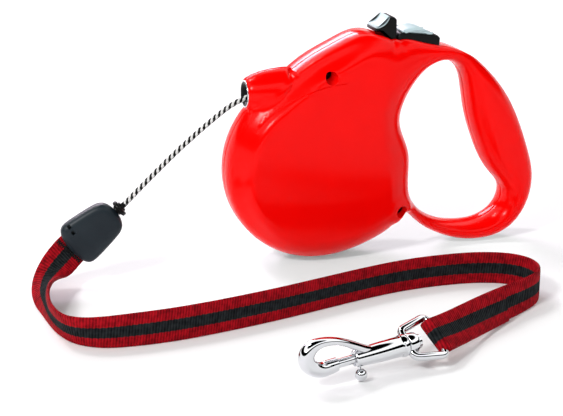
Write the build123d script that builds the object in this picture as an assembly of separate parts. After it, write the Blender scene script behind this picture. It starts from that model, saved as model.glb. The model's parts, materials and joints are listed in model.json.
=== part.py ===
from build123d import *
import os
from math import atan2, cos, degrees, pi, radians, sin, tan

# Retractable dog leash. Millimetres, +Z up. The case stands on its belly and on
# the bottom of its grip, along X: cord outlet towards -X, hand grip towards +X.
# Y = 0 is the parting plane of the two half shells. The origin is on the floor,
# under the middle of the case.

# ---------------------------------------------------------------- dimensions
# Case
REEL_X, REEL_Z = -35.25, 47.46      # reel axis, centre of the round belly
BELLY_R = 47.4
WALL = 2.2
EDGE_HALF = 13.0                    # half thickness of the rim of the casing
EDGE_ROUND = 6.5
FACE_INSET = 8.5                    # the raised face starts this far inside the rim
FACE_HALF = 18.0
FACE_ROUND = 4.5
GRIP_HALF = 12.5
GRIP_ROUND = 3.0                    # outer edge of the grip
HAND_ROUND = 2.0                    # edge of the hand opening

# Cord outlet
OUTLET_Z = 85.9
OUTLET_X = -73.2
OUTLET_R = 7.9
NOZZLE_ROOT_X = -50.0
NOZZLE_ROOT_R = 13.5
BUSH_R = 6.25
BUSH_BORE_R = 3.4

# Reel
REEL_R = 41.0
TOOTH_DEPTH = 3.0
TOOTH_COUNT = 24
TOOTH_GAP_ANGLE = 48.0              # a gap between teeth faces the pawl at rest
FLANGE = 1.4
FLANGE_Y = 9.6
RATCHET_Y = (6.5, 9.6)
DRUM_R = 26.0
DRUM_WALL = 2.0
AXLE_R = 4.0
AXLE_HALF = 15.2
AXLE_FIT = 0.03

# Cord and tape
CORD_D = 2.7
WOUND_R = 36.7
TAPE_W = 16.0
TAPE_T = 1.5
SEWN_T = 2.8

# Fasteners, as (x, z) of the axis
SCREWS = ((-37.0, 95.5), (4.8, 22.7))
SCREW_R = 1.5
HEAD_R = 2.8
SCREW_SEAT_Y = -5.5

# Brake
PRESS = 3.0                         # button travel
LEVER_X, LEVER_Z = -18.0, 90.0      # pivot of the brake lever
PUSH_X = 14.0                       # where the button meets the lever

# Connector frame: X towards the cord, Y across the plate, Z out of its broad face
CONNECTOR = Plane(
    origin=(-159.7, -6.2, 18.95),
    x_dir=(0.7894, -0.0344, 0.6133),
    z_dir=(-0.1214, -0.9875, 0.1009),
)
CONNECTOR_L = 26.0
CONNECTOR_HALF_T = 4.3
PIN_X = 8.0                         # tape pin inside the connector
PIN_R = 1.2

# Hook frame: X along the hook, away from the tape, Z up, origin on the tape bar
HOOK = Plane(
    origin=(-29.0, -136.0, 11.0),
    x_dir=(-0.9803, -0.1929, -0.0384),
    z_dir=(-0.0377, -0.0074, 0.9991),
)
# The eye lies over towards one side, turned about the hook's own line
EYE_LEAN = radians(57)
EYE = Plane(
    origin=HOOK.origin,
    x_dir=HOOK.x_dir,
    z_dir=HOOK.z_dir * cos(EYE_LEAN) - HOOK.y_dir * sin(EYE_LEAN),
)
BAR_R = 1.4

# Route of the cord from inside the outlet to the connector's collar
CORD_ROUTE = (
    (-52.0, 0.0, 85.9),
    (-64.0, 0.0, 85.9),
    (-78.0, -0.6, 82.9),
    (-94.0, -2.5, 72.2),
    (-115.0, -4.8, 55.9),
    (-134.9, -7.3, 38.2),
)

# Route of the tape on the floor, from the end of its twist to its sewn end
TAPE_ROUTE = (
    (-181.0, -30.0),
    (-180.5, -50.0),
    (-171.0, -74.0),
    (-150.0, -85.5),
    (-118.0, -84.3),
    (-78.0, -76.3),
    (-36.0, -65.0),
    (-8.0, -59.0),
    (22.0, -60.0),
    (43.0, -68.0),
    (48.5, -83.0),
    (38.0, -96.5),
    (20.0, -106.6),
)


# ---------------------------------------------------------------- helpers
def rod(start, end, radius):
    """Round bar from one point to another."""
    start, end = Vector(*start), Vector(*end)
    frame = Plane(origin=start, z_dir=end - start)
    bottom = (Align.CENTER, Align.CENTER, Align.MIN)
    return frame * Cylinder(radius, (end - start).length, align=bottom)


def pin(x, z, radius, y0, y1):
    """Round bar along Y."""
    return rod((x, y0, z), (x, y1, z), radius)


def block(x0, x1, y0, y1, z0, z1):
    """Box given by its limits."""
    return Pos((x0 + x1) / 2, (y0 + y1) / 2, (z0 + z1) / 2) * Box(x1 - x0, y1 - y0, z1 - z0)


def plate(points, y0, y1):
    """Polygon in X and Z, made solid from y0 to y1."""
    with BuildSketch(Plane.XZ) as sketch:
        with BuildLine():
            Polyline(*points, close=True)
        make_face()
    return Pos(0, y0, 0) * extrude(sketch.sketch, -(y1 - y0))


def closed_face(points):
    """Face in X and Z inside one smooth closed curve."""
    with BuildSketch(Plane.XZ) as sketch:
        with BuildLine():
            Spline(*points, periodic=True)
        make_face()
    return sketch.sketch


def inset(face, distance):
    """Face whose edge runs parallel to this face's edge, that far inside it."""
    wire = face.faces()[0].outer_wire()
    edge = [wire.position_at(step / 90) for step in range(90)]
    twice_area = sum(a.X * b.Z - b.X * a.Z for a, b in zip(edge, edge[1:] + edge[:1]))
    inward = distance if twice_area > 0 else -distance
    points = []
    for step, spot in enumerate(edge):
        heading = wire.tangent_at(step / 90)
        points.append((spot.X - heading.Z * inward, spot.Z + heading.X * inward))
    return closed_face(points)


def raised(face, half, rounding):
    """Prism from the parting plane to -half, its outer edges rounded."""
    solid = extrude(face, half)
    outer = solid.faces().sort_by(Axis.Y)[0]
    return fillet(outer.edges(), rounding)


def largest_radii(points):
    """Radius for each bend of a route: as large as its two runs allow."""
    radii = []
    for before, here, after in zip(points, points[1:], points[2:]):
        run_in = Vector(*here) - Vector(*before)
        run_out = Vector(*after) - Vector(*here)
        half_turn = radians(run_in.get_angle(run_out)) / 2
        radii.append(0.45 * min(run_in.length, run_out.length) / tan(half_turn))
    return radii


def save(shape, node):
    shape.label = node
    export_step(shape, f"parts/{node}.step")


# ---------------------------------------------------------------- case shells
def casing_face():
    """Round belly, straight shoulder to the top, short back along the fingers."""
    belly = []
    for angle in range(135, 271, 15):
        x = REEL_X + BELLY_R * cos(radians(angle))
        z = REEL_Z + BELLY_R * sin(radians(angle))
        belly.append((x, z))
    keel = [(-20.0, 2.2), (-7.0, 6.8), (3.0, 12.6), (8.8, 20.0)]
    fingers = [(10.0, 30.0), (8.0, 43.0), (4.5, 56.0), (2.5, 68.0), (3.5, 80.0), (5.0, 92.0)]
    top = [(3.5, 102.5), (-3.5, 110.2), (-14.0, 113.3), (-26.5, 109.3)]
    shoulder = [(-42.0, 101.6), (-56.0, 91.9)]
    return closed_face(belly + keel + fingers + top + shoulder)


def grip_faces():
    """Outer face and hand opening of the grip; its left side is inside the casing."""
    rim = closed_face((
        (12.0, 18.4), (19.5, 11.6), (30.0, 5.2), (40.0, 1.5), (51.0, 0.1), (61.0, 1.1),
        (70.5, 5.4), (78.0, 13.6), (82.2, 25.0), (82.3, 36.5), (79.4, 47.0), (74.0, 61.0),
        (66.0, 76.3), (56.5, 88.4), (45.5, 97.8), (32.0, 104.0), (14.0, 108.6), (1.0, 108.0),
        (-7.0, 96.0), (-8.0, 78.0), (-6.0, 56.0), (-3.0, 36.0), (3.0, 24.0),
    ))
    hand = closed_face((
        (29.0, 97.2), (38.0, 92.0), (41.8, 82.0), (44.6, 68.0), (49.5, 53.5), (59.5, 35.3),
        (66.6, 24.5), (64.5, 16.8), (56.0, 10.8), (43.0, 9.6), (30.0, 12.3), (19.4, 18.8),
        (12.8, 29.0), (12.0, 40.0), (11.4, 52.0), (6.2, 68.0), (9.8, 81.0), (18.5, 92.6),
    ))
    return rim, hand


def half_case():
    """Outer body and cavity of the half on the -Y side."""
    casing = casing_face()
    rim, hand = grip_faces()
    face = inset(casing, FACE_INSET)
    outer = raised(casing, EDGE_HALF, EDGE_ROUND)
    outer += raised(face, FACE_HALF, FACE_ROUND)
    grip = raised(rim, GRIP_HALF, GRIP_ROUND) - extrude(hand, GRIP_HALF)
    front = grip.faces().filter_by(Axis.Y).sort_by(Axis.Y)[0]
    grip = fillet(front.inner_wires()[0].edges(), HAND_ROUND)
    outer = (outer - extrude(hand, FACE_HALF)) + grip
    nozzle_length = NOZZLE_ROOT_X - OUTLET_X
    nozzle = Plane(origin=(NOZZLE_ROOT_X, 0, OUTLET_Z), z_dir=(-1, 0, 0)) * Cone(
        NOZZLE_ROOT_R, OUTLET_R, nozzle_length, align=(Align.CENTER, Align.CENTER, Align.MIN)
    )
    near_side = block(-100, 100, -40, 0, -20, 140)
    outer += nozzle & near_side
    cavity = extrude(inset(casing, WALL), EDGE_HALF - WALL)
    cavity += extrude(inset(casing, FACE_INSET + WALL), FACE_HALF - WALL)
    cavity += extrude(inset(rim, WALL), GRIP_HALF - WALL)
    cavity -= extrude(inset(hand, -WALL), FACE_HALF)
    cavity += rod((OUTLET_X + 9, 0, OUTLET_Z), (NOZZLE_ROOT_X, 0, OUTLET_Z), 5.2)
    return outer, cavity


def fit_shell(outer, cavity, near):
    """Hollow one half and add its bosses; near is the half with the screw heads."""
    side = -1 if near else 1
    half = block(-100, 100, *sorted((0, 40 * side)), -20, 140)
    shell = outer - cavity

    def post(x, z, radius, start):
        return pin(x, z, radius, *sorted((start * side, 30 * side))) & outer

    for x, z in SCREWS:
        shell += post(x, z, HEAD_R + 1.3, 3.4 if near else -3.3)
    shell += post(REEL_X, REEL_Z, AXLE_R + 2.5, 10.4)
    shell += post(LEVER_X, LEVER_Z, 3.2, 1.0 if near else 10.2)
    # Thick bed for the lock slider and its catch slot
    shell += block(-19.5, 1.8, *sorted((0, 12 * side)), 107.8, 115) & outer
    # Shelf for the brake spring
    shell += block(0.2, 7.4, *sorted((0.05 * side, 12 * side)), 81.8, 83.8) & outer
    shell &= half if near else half + block(-60, 20, -3.3, 0, 10, 110)
    # Screw recess in the near half, threaded bore in the far half
    for x, z in SCREWS:
        if near:
            shell -= pin(x, z, HEAD_R + 0.3, -30, SCREW_SEAT_Y)
            shell -= pin(x, z, SCREW_R + 0.15, SCREW_SEAT_Y - 0.1, 0)
        else:
            shell -= pin(x, z, SCREW_R + 0.04, -4, 9)
    shell -= pin(REEL_X, REEL_Z, AXLE_R + AXLE_FIT, -AXLE_HALF - 0.1, AXLE_HALF + 0.1)
    shell -= pin(LEVER_X, LEVER_Z, 1.53, -9.1, 12.1)
    # Outlet bore, button well, slider bed and slider slot
    shell -= rod((OUTLET_X - 1, 0, OUTLET_Z), (OUTLET_X + 9, 0, OUTLET_Z), BUSH_R + 0.02)
    shell -= block(2.2, 25.8, -7.6, 7.6, 99, 125)
    shell -= block(-18.5, 2.3, -7.6, 7.6, 112.2, 125)
    shell -= block(-12.9, -3.9, -3.0, 3.0, 104, 113)
    return shell


def case_parts():
    near_outer, near_cavity = half_case()
    far_outer = mirror(near_outer, about=Plane.XZ)
    far_cavity = mirror(near_cavity, about=Plane.XZ)
    save(fit_shell(near_outer, near_cavity, True), "shell_near")
    save(fit_shell(far_outer, far_cavity, False), "shell_far")


def screws():
    """Two pan-head screws with cross recesses."""
    solids = []
    for x, z in SCREWS:
        screw = pin(x, z, SCREW_R, SCREW_SEAT_Y, 8.5)
        head = pin(x, z, HEAD_R, SCREW_SEAT_Y - 2.2, SCREW_SEAT_Y)
        head = fillet(head.edges().sort_by(Axis.Y)[0], 0.9)
        slot = block(-1.9, 1.9, -2, 0, -0.35, 0.35) + block(-0.35, 0.35, -2, 0, -1.9, 1.9)
        screw += head - Pos(x, SCREW_SEAT_Y - 1.2, z) * slot
        solids.append(screw.solid())
    save(Compound(children=solids), "case_screws")


def outlet():
    """Black bush that the cord runs through, and the bright ring round it."""
    axis_z = OUTLET_Z
    bush = rod((OUTLET_X - 1.6, 0, axis_z), (OUTLET_X + 8, 0, axis_z), BUSH_R)
    bush -= rod((OUTLET_X - 3, 0, axis_z), (OUTLET_X + 9, 0, axis_z), BUSH_BORE_R)
    mouth = Plane(origin=(OUTLET_X - 1.7, 0, axis_z), z_dir=(1, 0, 0))
    bush -= mouth * Cone(5.1, BUSH_BORE_R, 4.0, align=(Align.CENTER, Align.CENTER, Align.MIN))
    save(bush, "outlet_bush")
    ring = rod((OUTLET_X - 1.3, 0, axis_z), (OUTLET_X - 0.1, 0, axis_z), OUTLET_R - 0.3)
    ring -= rod((OUTLET_X - 3, 0, axis_z), (OUTLET_X + 1, 0, axis_z), BUSH_R + 0.02)
    save(ring, "outlet_ring")


# ---------------------------------------------------------------- reel
def about_reel(radius, y0, y1):
    return pin(REEL_X, REEL_Z, radius, y0, y1)


def reel():
    """Drum cup with two flanges; the far flange is the ratchet wheel."""
    ratchet_y0, ratchet_y1 = RATCHET_Y
    body = about_reel(REEL_R, -FLANGE_Y, -FLANGE_Y + FLANGE)
    body += about_reel(REEL_R, ratchet_y0, ratchet_y1)
    body += about_reel(DRUM_R, -FLANGE_Y, ratchet_y1)
    body -= about_reel(DRUM_R - DRUM_WALL, -FLANGE_Y - 1, ratchet_y0)
    pitch = 360 / TOOTH_COUNT
    for tooth in range(TOOTH_COUNT):
        gap = Pos(REEL_R, 0, 0) * Box(2 * TOOTH_DEPTH, 10, REEL_R * radians(pitch) / 2)
        turn = -(TOOTH_GAP_ANGLE + tooth * pitch)
        body -= Pos(REEL_X, (ratchet_y0 + ratchet_y1) / 2, REEL_Z) * Rot(0, turn, 0) * gap
    body -= about_reel(AXLE_R + AXLE_FIT, -20, 20)
    save(body, "reel_drum")

    cover = about_reel(DRUM_R - DRUM_WALL - 0.02, -FLANGE_Y, -FLANGE_Y + FLANGE)
    cover -= about_reel(AXLE_R + AXLE_FIT, -20, 20)
    save(cover, "spring_cover")

    arbor = about_reel(6.5, -7.6, 6.0) - about_reel(AXLE_R + 0.02, -20, 20)
    save(arbor, "spring_arbor")

    axle = about_reel(AXLE_R, -AXLE_HALF, AXLE_HALF)
    axle = chamfer(axle.edges().filter_by(GeomType.CIRCLE), 0.5)
    save(axle, "reel_axle")


def power_spring():
    """Flat steel strip wound from the arbor out to the drum wall."""
    turns, strip, inner, outer = 9, 0.35, 7.0, 23.6
    points = []
    steps = turns * 12
    for step in range(steps + 1):
        angle = 2 * pi * turns * step / steps
        radius = inner + (outer - inner) * step / steps
        points.append((REEL_X + radius * cos(angle), REEL_Z + radius * sin(angle)))
    with BuildSketch(Plane.XZ) as sketch:
        with BuildLine():
            coil = Spline(*points)
        trace(coil, strip)
    spring = Pos(0, -7.2, 0) * extrude(sketch.sketch, -12.8)
    save(spring, "power_spring")


def winding():
    """The cord that is wound on the drum, its surface ribbed by the turns."""
    turns = 5
    y0, y1 = -FLANGE_Y + FLANGE + 0.05, RATCHET_Y[0] - 0.05
    pitch = (y1 - y0) / turns
    with BuildSketch(Plane.XY) as sketch:
        with BuildLine():
            Line((DRUM_R + 0.05, y1), (DRUM_R + 0.05, y0))
            Line((DRUM_R + 0.05, y0), (WOUND_R - 0.7, y0))
            for turn in range(turns):
                low = (WOUND_R - 0.7, y0 + turn * pitch)
                mid = (WOUND_R, y0 + (turn + 0.5) * pitch)
                high = (WOUND_R - 0.7, y0 + (turn + 1) * pitch)
                ThreePointArc(low, mid, high)
            Line((WOUND_R - 0.7, y1), (DRUM_R + 0.05, y1))
        make_face()
    save(Pos(REEL_X, 0, REEL_Z) * revolve(sketch.sketch, Axis.Y), "cord_winding")


# ---------------------------------------------------------------- brake and lock
def brake():
    body = plate(((2.6, 102.4), (24.4, 102.4), (25.3, 109.2), (23.3, 110.7), (3.9, 113.2),
                  (2.6, 111.9)), -7.2, 7.2)
    body = fillet(body.faces().filter_by(Axis.Y).edges(), 0.8)
    body += block(2.8, 17.0, -6.6, 6.6, 100.8, 103.0)
    body += block(PUSH_X - 1.5, PUSH_X + 1.5, -2.5, 6.6, 99.6, 101.5)
    save(body, "brake_button")

    with BuildSketch(Plane.XZ) as sketch:
        with BuildLine():
            Line((4.4, 113.135), (22.8, 110.765))
            ThreePointArc((22.8, 110.765), (14.3, 114.6), (4.4, 113.135))
        make_face()
    pad = Pos(0, -6, 0) * extrude(sketch.sketch, -12)
    save(pad, "brake_pad")

    arm = plate(((-18.5, 94.2), (-14.0, 94.5), (3.0, 99.3), (15.2, 99.3), (15.2, 97.2),
                 (8.5, 96.3), (8.5, 94.6), (-0.5, 94.6), (-3.2, 92.4), (-6.66, 77.42),
                 (-8.44, 79.02), (-11.2, 90.5), (-14.5, 88.0), (-18.0, 86.0)), 6.2, 9.8)
    arm += pin(LEVER_X, LEVER_Z, 4.2, 6.2, 9.8)
    arm += block(-0.5, 15.2, -3.0, 6.3, 97.2, 99.3)
    arm += block(-0.5, 8.5, -3.0, 6.3, 94.6, 97.3)
    arm -= pin(LEVER_X, LEVER_Z, 1.55, 0, 20)
    save(arm, "brake_lever")
    save(pin(LEVER_X, LEVER_Z, 1.5, -9.0, 12.0), "lever_pin")

    spring_line = Helix(pitch=2.4, height=9.6, radius=2.6)
    with BuildPart() as coil:
        with BuildSketch(Plane(origin=spring_line @ 0, z_dir=spring_line % 0)):
            Circle(0.3)
        sweep(path=spring_line)
    save(Pos(3.8, 3.8, 84.35) * coil.part, "brake_spring")


def lock():
    concave = ((-13.0, 115.4), (-7.6, 116.2), (-2.9, 120.4))
    with BuildSketch(Plane.XZ) as sketch:
        with BuildLine():
            ThreePointArc(*concave)
            Polyline((-2.9, 120.4), (0.1, 120.4), (1.6, 118.8), (1.6, 112.5), (-13.2, 112.5),
                     (-13.0, 115.4))
        make_face()
    body = Pos(0, -7.2, 0) * extrude(sketch.sketch, -14.4)
    body += block(-8.5, -4.4, -2.6, 2.6, 105.0, 112.6)
    body += block(-8.5, -4.4, -5.0, 5.0, 104.6, 107.3)
    save(body, "lock_slider")

    with BuildSketch(Plane.XZ) as sketch:
        with BuildLine():
            ThreePointArc(*concave)
            Line((-2.9, 120.4), (-3.4, 121.2))
            ThreePointArc((-3.4, 121.2), (-8.0, 117.2), (-12.9, 116.4))
            Line((-12.9, 116.4), (-13.0, 115.4))
        make_face()
    save(Pos(0, -5.6, 0) * extrude(sketch.sketch, -11.2), "lock_insert")


# ---------------------------------------------------------------- cord and connector
def cord():
    radii = largest_radii(CORD_ROUTE)
    print("cord radii", [round(r, 1) for r in radii])
    path = FilletPolyline(*CORD_ROUTE, radius=radii)
    with BuildPart() as tube:
        with BuildSketch(Plane(origin=path @ 0, z_dir=path % 0)):
            Circle(CORD_D / 2)
        sweep(path=path)
    section = pi * CORD_D**2 / 4
    print("cord length", round(path.length, 1), "volume ratio",
          round(tube.part.volume / (section * path.length), 4))
    save(tube.part, "cord")
    lead = rod((-36.0, 0, OUTLET_Z), (-52.0, 0, OUTLET_Z), CORD_D / 2)
    save(lead, "cord_lead")


def connector():
    outline = ((0.0, -10.0), (CONNECTOR_L, -6.6), (CONNECTOR_L, 6.6), (0.0, 10.0))
    with BuildSketch() as sketch:
        with BuildLine():
            Polyline(*outline, close=True)
        make_face()
        fillet(sketch.vertices(), 3.5)
    plan = sketch.sketch
    channel = block(-1, 12, -8.3, 8.3, -1.7, 1.7)
    channel += rod((PIN_X, -8.3, 0), (PIN_X, 8.3, 0), 3.2)
    channel += rod((13, 0, 0), (CONNECTOR_L + 1, 0, 0), CORD_D / 2 + 0.02)
    channel += Pos(17, 0, 0) * Sphere(3.0)
    channel += rod((PIN_X, -8.8, 0), (PIN_X, 8.8, 0), PIN_R + 0.02)
    for side, node in ((1, "connector_front"), (-1, "connector_back")):
        half = extrude(plan, CONNECTOR_HALF_T * side)
        rim = half.faces().sort_by(Axis.Z)[-1 if side > 0 else 0]
        half = fillet(rim.edges(), 2.0)
        half -= channel
        save(CONNECTOR * half, node)
    save(CONNECTOR * rod((PIN_X, -8.7, 0), (PIN_X, 8.7, 0), PIN_R), "tape_pin")
    knot = Pos(17, 0, 0) * Sphere(2.9) - rod((18.5, 0, 0), (30, 0, 0), CORD_D / 2)
    save(CONNECTOR * knot, "cord_knot")
    tail = rod((18.5, 0, 0), (CONNECTOR_L + 5.2, 0, 0), CORD_D / 2)
    save(CONNECTOR * tail, "cord_tail")
    collar = rod((CONNECTOR_L + 0.1, 0, 0), (CONNECTOR_L + 3.9, 0, 0), 2.6)
    collar += rod((CONNECTOR_L + 0.9, 0, 0), (CONNECTOR_L + 3.1, 0, 0), 4.1)
    collar -= rod((0, 0, 0), (CONNECTOR_L + 9, 0, 0), CORD_D / 2 + 0.02)
    save(CONNECTOR * collar, "cord_collar")


# ---------------------------------------------------------------- tape
def tape_section(origin, along, across, thickness):
    """Cross section of the tape at a point: across is its width direction."""
    along, across = Vector(*along), Vector(*across)
    section = Plane(origin=origin, x_dir=across, z_dir=along)
    return section * Rectangle(TAPE_W, thickness)


def tape():
    # Sewn end in the connector, looped round the pin
    start = rod((PIN_X, -8, 0), (PIN_X, 8, 0), PIN_R + 1.5)
    start += block(-10, PIN_X - 1, -8, 8, -SEWN_T / 2, SEWN_T / 2)
    start -= rod((PIN_X, -9, 0), (PIN_X, 9, 0), PIN_R + 0.05)
    shape = CONNECTOR * start
    # Twist from the connector down to the floor
    mouth = CONNECTOR.location * Pos(-10, 0, 0)
    out_of_mouth = -CONNECTOR.x_dir
    sections = [
        tape_section(mouth.position, tuple(out_of_mouth), tuple(CONNECTOR.y_dir), TAPE_T),
        tape_section((-176.5, -11.5, 9.6), (-0.6, -0.78, -0.15), (-0.25, 0.0, 0.97), TAPE_T),
        tape_section((*TAPE_ROUTE[0], TAPE_W / 2), (0.0, -1.0, 0.0), (0, 0, 1), TAPE_T),
    ]
    shape += loft([section.face() for section in sections], ruled=True)
    # Standing on edge along the floor
    radii = largest_radii(TAPE_ROUTE)
    print("tape radii", [round(r, 1) for r in radii])
    with BuildSketch() as sketch:
        with BuildLine():
            route = FilletPolyline(*TAPE_ROUTE, radius=radii)
        trace(route, TAPE_T)
    print("tape length on floor", round(route.length, 1))
    shape += extrude(sketch.sketch, TAPE_W)
    # Sewn double end, rising a little to the bar of the hook's eye
    bar = EYE.origin
    seam = Vector(*TAPE_ROUTE[-1], TAPE_W / 2)
    heading = Vector(bar.X - seam.X, bar.Y - seam.Y, 0).normalized()
    near_bar = bar - heading * 2.0
    ends = [
        tape_section(tuple(seam), tuple(heading), (0, 0, 1), SEWN_T),
        tape_section(tuple(near_bar), tuple(EYE.x_dir), tuple(EYE.z_dir), SEWN_T),
    ]
    shape += loft([section.face() for section in ends], ruled=True)
    shape += EYE * rod((0, 0, -TAPE_W / 2), (0, 0, TAPE_W / 2), BAR_R + 1.8)
    shape -= EYE * rod((0, 0, -12), (0, 0, 12), BAR_R + 0.25)
    save(shape, "tape")


# ---------------------------------------------------------------- hook
def hook_eye():
    """Wire trapezoid for the tape, with a boss that the hook swivels in."""
    corners = ((0, 0, -10.6), (0, 0, 10.6), (13.2, 0, 6.8), (13.2, 0, -6.8))
    wire = FilletPolyline(*corners, radius=1.9, close=True)
    with BuildPart() as ring:
        with BuildSketch(Plane(origin=wire @ 0, z_dir=wire % 0)):
            Circle(BAR_R)
        sweep(path=wire)
    eye = ring.part + rod((11.0, 0, 0), (15.6, 0, 0), 4.6)
    eye -= rod((9, 0, 0), (18, 0, 0), 2.06)
    save(EYE * eye, "hook_eye")


def hook_body():
    """Barrel, open loop and the swivel stem that is riveted in the eye."""
    bolt_r = 2.0
    knob_angle = -45.0
    with BuildSketch(Plane.XZ) as outline:
        with Locations((52.5, 1.2)):
            Ellipse(15.0, 9.2)
    loop = Pos(0, 2.8, 0) * extrude(outline.sketch, 5.6)
    loop = fillet(loop.faces().filter_by(Axis.Y).edges(), 2.0)
    with BuildSketch(Plane.XZ) as hole:
        with Locations((51.0, 2.3)):
            Ellipse(9.8, 5.3)
    loop -= Pos(0, 4, 0) * extrude(hole.sketch, 8)
    body = loop - block(36, 49.5, -5, 5, -12, 2.3)
    body += rod((16.2, 0, 0), (41, 0, 0), 4.3)
    body += rod((15.9, 0, 0), (18.5, 0, 0), 4.9)
    body += rod((10.0, 0, 0), (17, 0, 0), 2.0)
    body += rod((8.6, 0, 0), (10.6, 0, 0), 3.2)
    body += rod((49.5, 0, 0), (51.4, 0, 0), 3.5)
    body -= rod((20, 0, 0), (51.1, 0, 0), bolt_r + 0.05)
    slot = block(30.5, 42, -1.2, 1.2, -6, 0)
    body -= Rot(knob_angle, 0, 0) * slot
    save(HOOK * body, "hook_body")

    bolt = rod((31.0, 0, 0), (51.0, 0, 0), bolt_r)
    save(HOOK * bolt, "hook_bolt")

    knob = rod((39.0, 0, -5.0), (39.0, 0, -2.05), 0.95)
    knob += Pos(39.0, 0, -6.9) * Sphere(2.5)
    save(HOOK * Rot(knob_angle, 0, 0) * knob, "bolt_knob")

    spring_line = Helix(pitch=1.7, height=10.2, radius=1.45)
    with BuildPart() as coil:
        with BuildSketch(Plane(origin=spring_line @ 0, z_dir=spring_line % 0)):
            Circle(0.25)
        sweep(path=spring_line)
    save(HOOK * Pos(20.3, 0, 0) * Rot(0, 90, 0) * coil.part, "bolt_spring")


os.makedirs("parts", exist_ok=True)
case_parts()
screws()
outlet()
reel()
power_spring()
winding()
brake()
lock()
cord()
connector()
tape()
hook_eye()
hook_body()
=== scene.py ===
"""Looks of the retractable leash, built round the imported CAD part.

Lengths in this file are in millimetres; MM turns them into Blender's metres.
"""

import json
from math import cos, pi, radians, sin

import bmesh
import bpy
import numpy as np
from mathutils import Matrix, Quaternion, Vector
from mathutils.geometry import delaunay_2d_cdt


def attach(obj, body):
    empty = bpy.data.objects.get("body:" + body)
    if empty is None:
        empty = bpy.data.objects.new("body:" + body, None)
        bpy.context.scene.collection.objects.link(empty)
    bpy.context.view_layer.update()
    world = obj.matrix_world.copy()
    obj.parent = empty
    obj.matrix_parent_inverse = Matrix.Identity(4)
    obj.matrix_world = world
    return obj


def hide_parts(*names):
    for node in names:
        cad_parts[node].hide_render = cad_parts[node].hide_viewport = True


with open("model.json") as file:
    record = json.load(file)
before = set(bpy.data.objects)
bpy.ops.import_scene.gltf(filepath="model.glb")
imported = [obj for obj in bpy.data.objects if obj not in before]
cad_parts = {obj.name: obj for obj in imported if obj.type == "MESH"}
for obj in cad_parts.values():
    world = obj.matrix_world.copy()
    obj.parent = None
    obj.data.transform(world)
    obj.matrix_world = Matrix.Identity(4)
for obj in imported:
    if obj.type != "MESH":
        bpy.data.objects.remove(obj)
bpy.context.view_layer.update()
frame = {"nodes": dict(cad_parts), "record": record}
nodes = frame["nodes"]
MM = 0.001

# ---------- dimensions
CAMERA_AZIMUTH = radians(-18.0)
CAMERA_ELEVATION = radians(19.0)
CAMERA_ROLL = radians(0.5)
CAMERA_TARGET = (-54.12, 0.0, 25.83)
CAMERA_DISTANCE = 708.9
CAMERA_LENS = 90.66

# Case
REEL_X, REEL_Z = -35.25, 47.46
WALL = 2.2
PARTING_GAP = 0.2                  # each half stands back this far from the mid plane
BELLY_X = -35.9                    # middle of the round front
BELLY_R = (48.1, 47.4)             # its half length and half height
CASE_HALF = 18.0
GRIP_HALF = 12.5
OUTLET_X, OUTLET_Z = -73.2, 85.9
SCREWS = ((-34.4, 94.6), (4.8, 22.7))
SCREW_LIFT = (0.0, 1.8)             # how far each head stands above its seat
RECESS_R = 3.1
SCREW_SEAT = 5.5                    # depth of the screw heads' seat, from the mid plane
SCREW_HEAD_R = 2.9
SCREW_BORE_R = 1.7
POST_R = 4.3                        # posts that the screws stand in
BORE_R = 6.35                       # hole for the outlet bush
MOUTH_R = 7.0                       # end of the hump round the outlet
HOLE_POINTS = 40                    # points round each screw recess
MESH_STEP = 1.15                    # size of the triangles on the faces
INNER_STEP = 3.0                    # and on the inside
OUTLINE_STEP = 0.9
GROOVE_DEPTH = 0.32                 # of the engraved line that bounds the panel
GROOVE_SIDE = (0.16, -0.26)         # from its middle to one side

# Connector: X towards the cord, Y across, Z out of the broad face
CONNECTOR = ((-159.7, -6.2, 18.95), (0.7894, -0.0344, 0.6133), (-0.1214, -0.9875, 0.1009))
CONNECTOR_L = 26.0
CONNECTOR_HALF_W = 11.7             # at the tape
CONNECTOR_TAPER = 3.6               # how much narrower it is at the cord
CONNECTOR_HALF_T = 4.9
CONNECTOR_TAIL = 2.4                # how far it reaches past its origin

# Hook: X away from the tape, Z up, origin on the bar that holds the tape
HOOK = ((-29.0, -136.0, 11.0), (-0.9803, -0.1929, -0.0384), (-0.0377, -0.0074, 0.9991))
BAR_R = 1.4
KNOB_ANGLE = radians(20.0)
KNOB_R = 2.6
KNOB_REACH = 7.1                    # from the hook's axis to the middle of the knob
EYE_THICKER = 0.45                  # the eye's wire against its bar
EYE_LEAN = radians(57.0)            # the eye lies over towards the camera side

# Controls: half widths across the case, and where the pad starts and ends
BUTTON_HALF = 6.9
PAD_HALF = 6.2
PAD_X = (5.8, 21.4)
SLIDER_HALF = 6.1
INSERT_HALF = 5.9

# Cord and tape
BRAID_PITCH = 6.4
TAPE_W = 16.0
TAPE_T = 1.5
LOOP_R = 2.3                        # middle of the tape round the eye's bar
SEAM_LENGTH = 55.0                  # how far the tape is sewn back on itself
RIB = 1.3                           # spacing of the weave's ribs
STITCH_STEP = 2.0
STITCH_L = 1.4

CORD_ROUTE = (
    (-52.0, 0.0, 85.9),
    (-64.0, 0.0, 85.9),
    (-78.0, -0.6, 82.9),
    (-94.0, -2.5, 72.2),
    (-115.0, -4.8, 55.9),
    (-134.9, -7.3, 38.2),
)

DOWN = (0.0, 0.0, -1.0)            # the tape stands on its edge
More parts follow.
